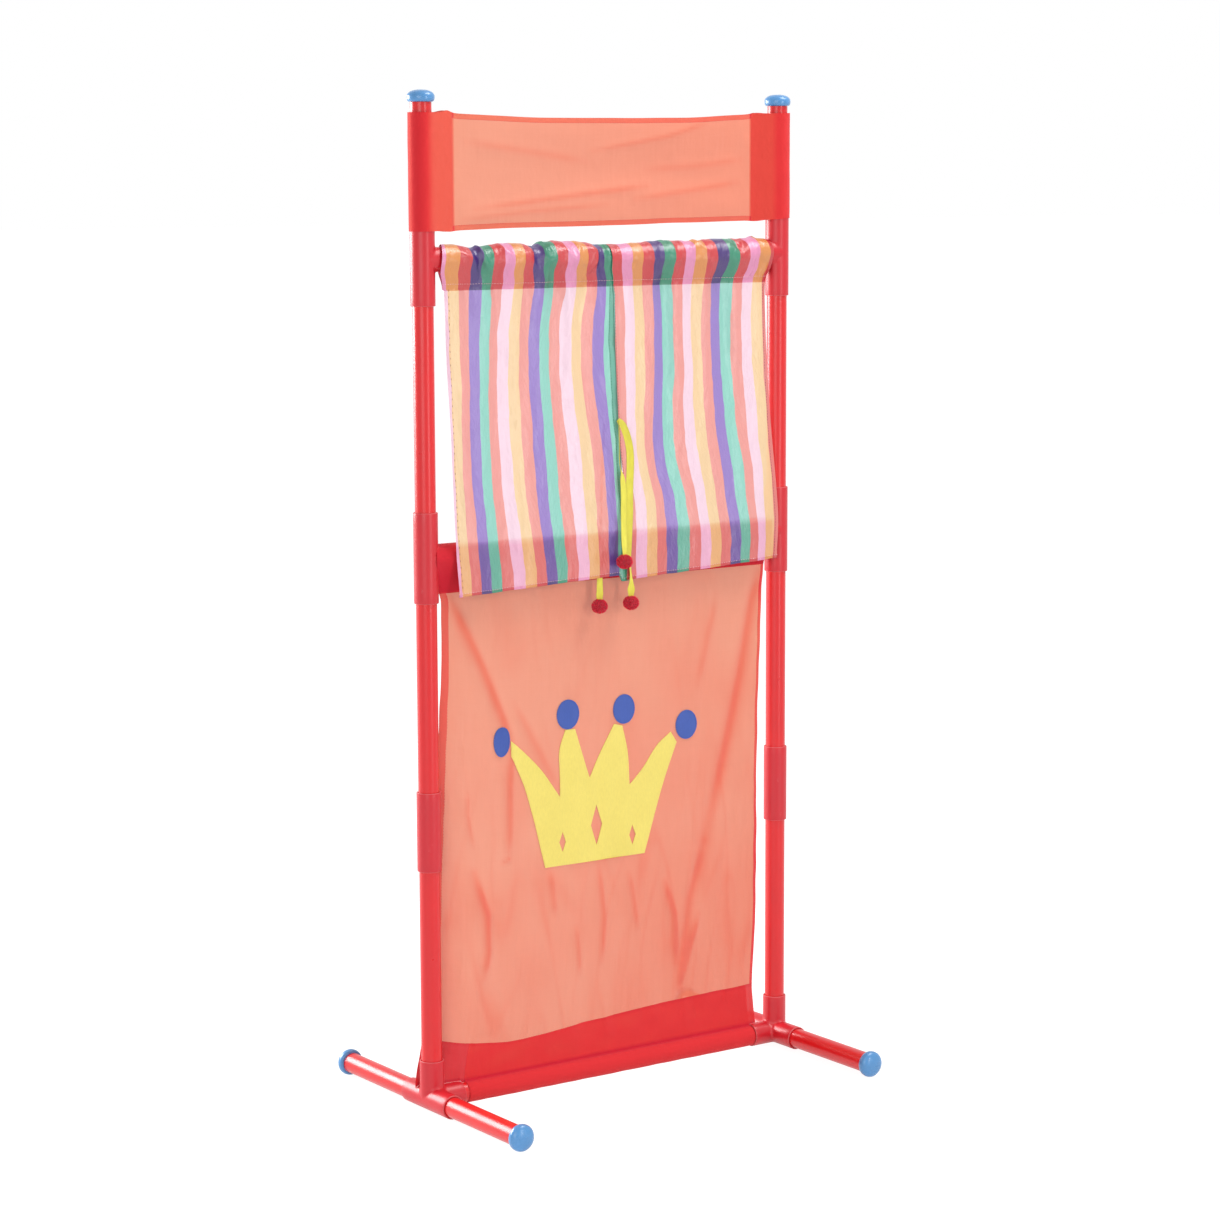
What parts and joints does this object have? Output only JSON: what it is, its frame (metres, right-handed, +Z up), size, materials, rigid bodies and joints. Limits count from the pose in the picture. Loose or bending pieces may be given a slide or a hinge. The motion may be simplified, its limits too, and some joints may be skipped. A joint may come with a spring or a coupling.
{
  "type": "puppet theater stand",
  "caption": "Free-standing push-together tube frame with a cloth banner, two drawing curtains over a puppet window and a cloth front panel with a crown.",
  "frame": {"origin": "on the floor, midway between the two posts", "axes": "+Z up along the posts, -Y towards the audience, +X to the audience's right"},
  "size_m": [0.5574, 0.408, 1.22],
  "materials": {
    "tube": "smooth glossy extruded tube",
    "fitting": "moulded, slightly deeper red",
    "cap": "moulded, glossy, light blue",
    "coral_cloth": "thin translucent plain-weave polyester",
    "striped_satin": "thin printed satin in six-colour vertical stripes",
    "green_hem": "double layer of the striped satin",
    "yellow_felt": "matt felt",
    "blue_felt": "matt felt",
    "yellow_ribbon": "satin ribbon",
    "red_pompom": "fluffy yarn"
  },
  "bodies": {
    "stand": {"left_lower_post_tube": "tube", "left_middle_post_tube": "tube", "left_upper_post_tube": "tube", "left_top_post_tube": "tube", "left_front_foot_tube": "tube", "left_rear_foot_tube": "tube", "right_lower_post_tube": "tube", "right_middle_post_tube": "tube", "right_upper_post_tube": "tube", "right_top_post_tube": "tube", "right_front_foot_tube": "tube", "right_rear_foot_tube": "tube", "bottom_crossbar": "tube", "middle_crossbar": "tube", "curtain_rod": "tube", "left_base_fitting": "fitting", "left_post_coupler": "fitting", "left_crossbar_tee": "fitting", "left_rod_tee": "fitting", "right_base_fitting": "fitting", "right_post_coupler": "fitting", "right_crossbar_tee": "fitting", "right_rod_tee": "fitting", "left_top_cap": "cap", "left_front_foot_cap": "cap", "left_rear_foot_cap": "cap", "right_top_cap": "cap", "right_front_foot_cap": "cap", "right_rear_foot_cap": "cap", "banner": "coral_cloth", "front_panel": "coral_cloth", "left_curtain": "striped_satin", "right_curtain": "striped_satin", "crown": "yellow_felt", "crown_ball_1": "blue_felt", "crown_ball_2": "blue_felt", "crown_ball_3": "blue_felt", "crown_ball_4": "blue_felt"},
    "left_curtain_edge": {"left_curtain_leading_hem": "green_hem"},
    "right_curtain_edge": {"right_curtain_leading_hem": "green_hem"},
    "right_tie": {"right_short_tie_ribbon": "yellow_ribbon", "right_short_tie_pompom": "red_pompom", "right_long_tie_ribbon": "yellow_ribbon", "right_long_tie_pompom": "red_pompom"},
    "left_tie": {"left_tie_ribbon": "yellow_ribbon", "left_tie_pompom": "red_pompom"}
  },
  "joints": [
    {"name": "left_curtain_slide", "type": "slide", "parent": "stand", "child": "left_curtain_edge", "axis": [-1, 0, 0], "range_m": [0, 0.165], "deforming": ["left_curtain"]},
    {"name": "right_curtain_slide", "type": "slide", "parent": "stand", "child": "right_curtain_edge", "axis": [1, 0, 0], "range_m": [0, 0.165], "deforming": ["right_curtain"]},
    {"name": "right_tie_swing", "type": "hinge", "parent": "right_curtain_edge", "child": "right_tie", "pos_m": [0.0027, -0.0142, 0.826], "axis": [0, 1, 0], "range_deg": [-15, 2]},
    {"name": "left_tie_swing", "type": "hinge", "parent": "left_curtain_edge", "child": "left_tie", "pos_m": [-0.01, -0.0092, 0.822], "axis": [0, 1, 0], "range_deg": [-2, 15]}
  ]
}
